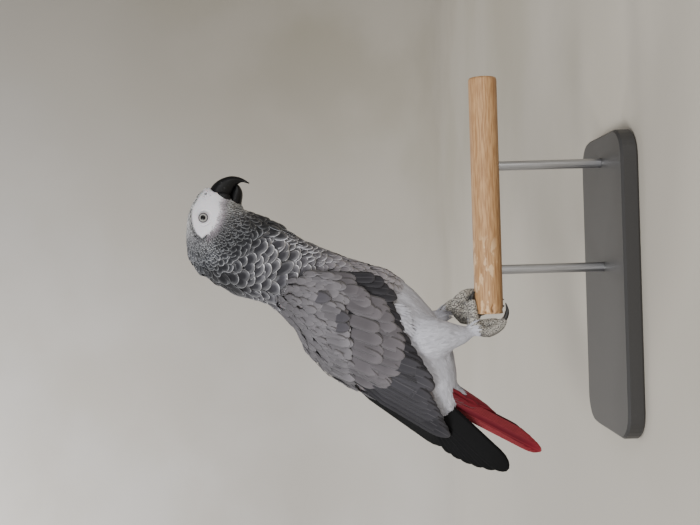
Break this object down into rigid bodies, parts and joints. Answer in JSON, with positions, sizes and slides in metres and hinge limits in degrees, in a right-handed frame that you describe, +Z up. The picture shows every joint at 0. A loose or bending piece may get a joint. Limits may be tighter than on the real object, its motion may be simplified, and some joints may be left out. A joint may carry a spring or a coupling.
{
  "type": "grey parrot",
  "caption": "Still life-size grey parrot gripping the end of a wooden perch, on a plain display stand; upright stance with folded wings and short red tail.",
  "frame": {"origin": "on the underside of the stand's base, straight below the place where the feet hold the perch", "axes": "+Z up; +X the way the bird faces, along the perch; +Y the bird's left"},
  "size_m": [0.3325, 0.124, 0.3669],
  "materials": {
    "grey_plumage": "soft matt contour feathers, dark grey with thin pale edges",
    "wing_plumage": "smooth matt wing feathers, mid grey darkening to the tips",
    "pale_plumage": "fluffy pale grey down of the thighs and belly",
    "flight_feathers": "stiff near-black feathers with a faint sheen",
    "red_tail": "stiff crimson feathers with a satin sheen",
    "bill_horn": "black horn, satin with fine growth lines",
    "claw_horn": "black horn, satin",
    "eye": "wet gloss, pale yellow-white iris and black pupil",
    "scaled_skin": "dry granular grey skin with small scales",
    "perch_wood": "bare turned dowel, satin, chewed at one end",
    "base_finish": "dark stained wood, satin",
    "rod_steel": "brushed"
  },
  "bodies": {
    "root": {"head": "grey_plumage", "neck": "grey_plumage", "trunk": "grey_plumage", "bill_upper": "bill_horn", "bill_lower": "bill_horn", "eye_right": "eye", "eye_left": "eye", "wing_right": "wing_plumage", "wing_left": "wing_plumage", "primaries_right": "flight_feathers", "primaries_left": "flight_feathers", "tail": "red_tail", "undertail": "red_tail", "thigh_right": "pale_plumage", "thigh_left": "pale_plumage", "foot_right": "scaled_skin", "foot_left": "scaled_skin", "perch": "perch_wood", "stand_base": "base_finish", "stand_rod_front": "rod_steel", "stand_rod_rear": "rod_steel", "claw_right_1": "claw_horn", "claw_right_2": "claw_horn", "claw_right_3": "claw_horn", "claw_right_4": "claw_horn", "claw_left_1": "claw_horn", "claw_left_2": "claw_horn", "claw_left_3": "claw_horn", "claw_left_4": "claw_horn"}
  },
  "joints": []
}
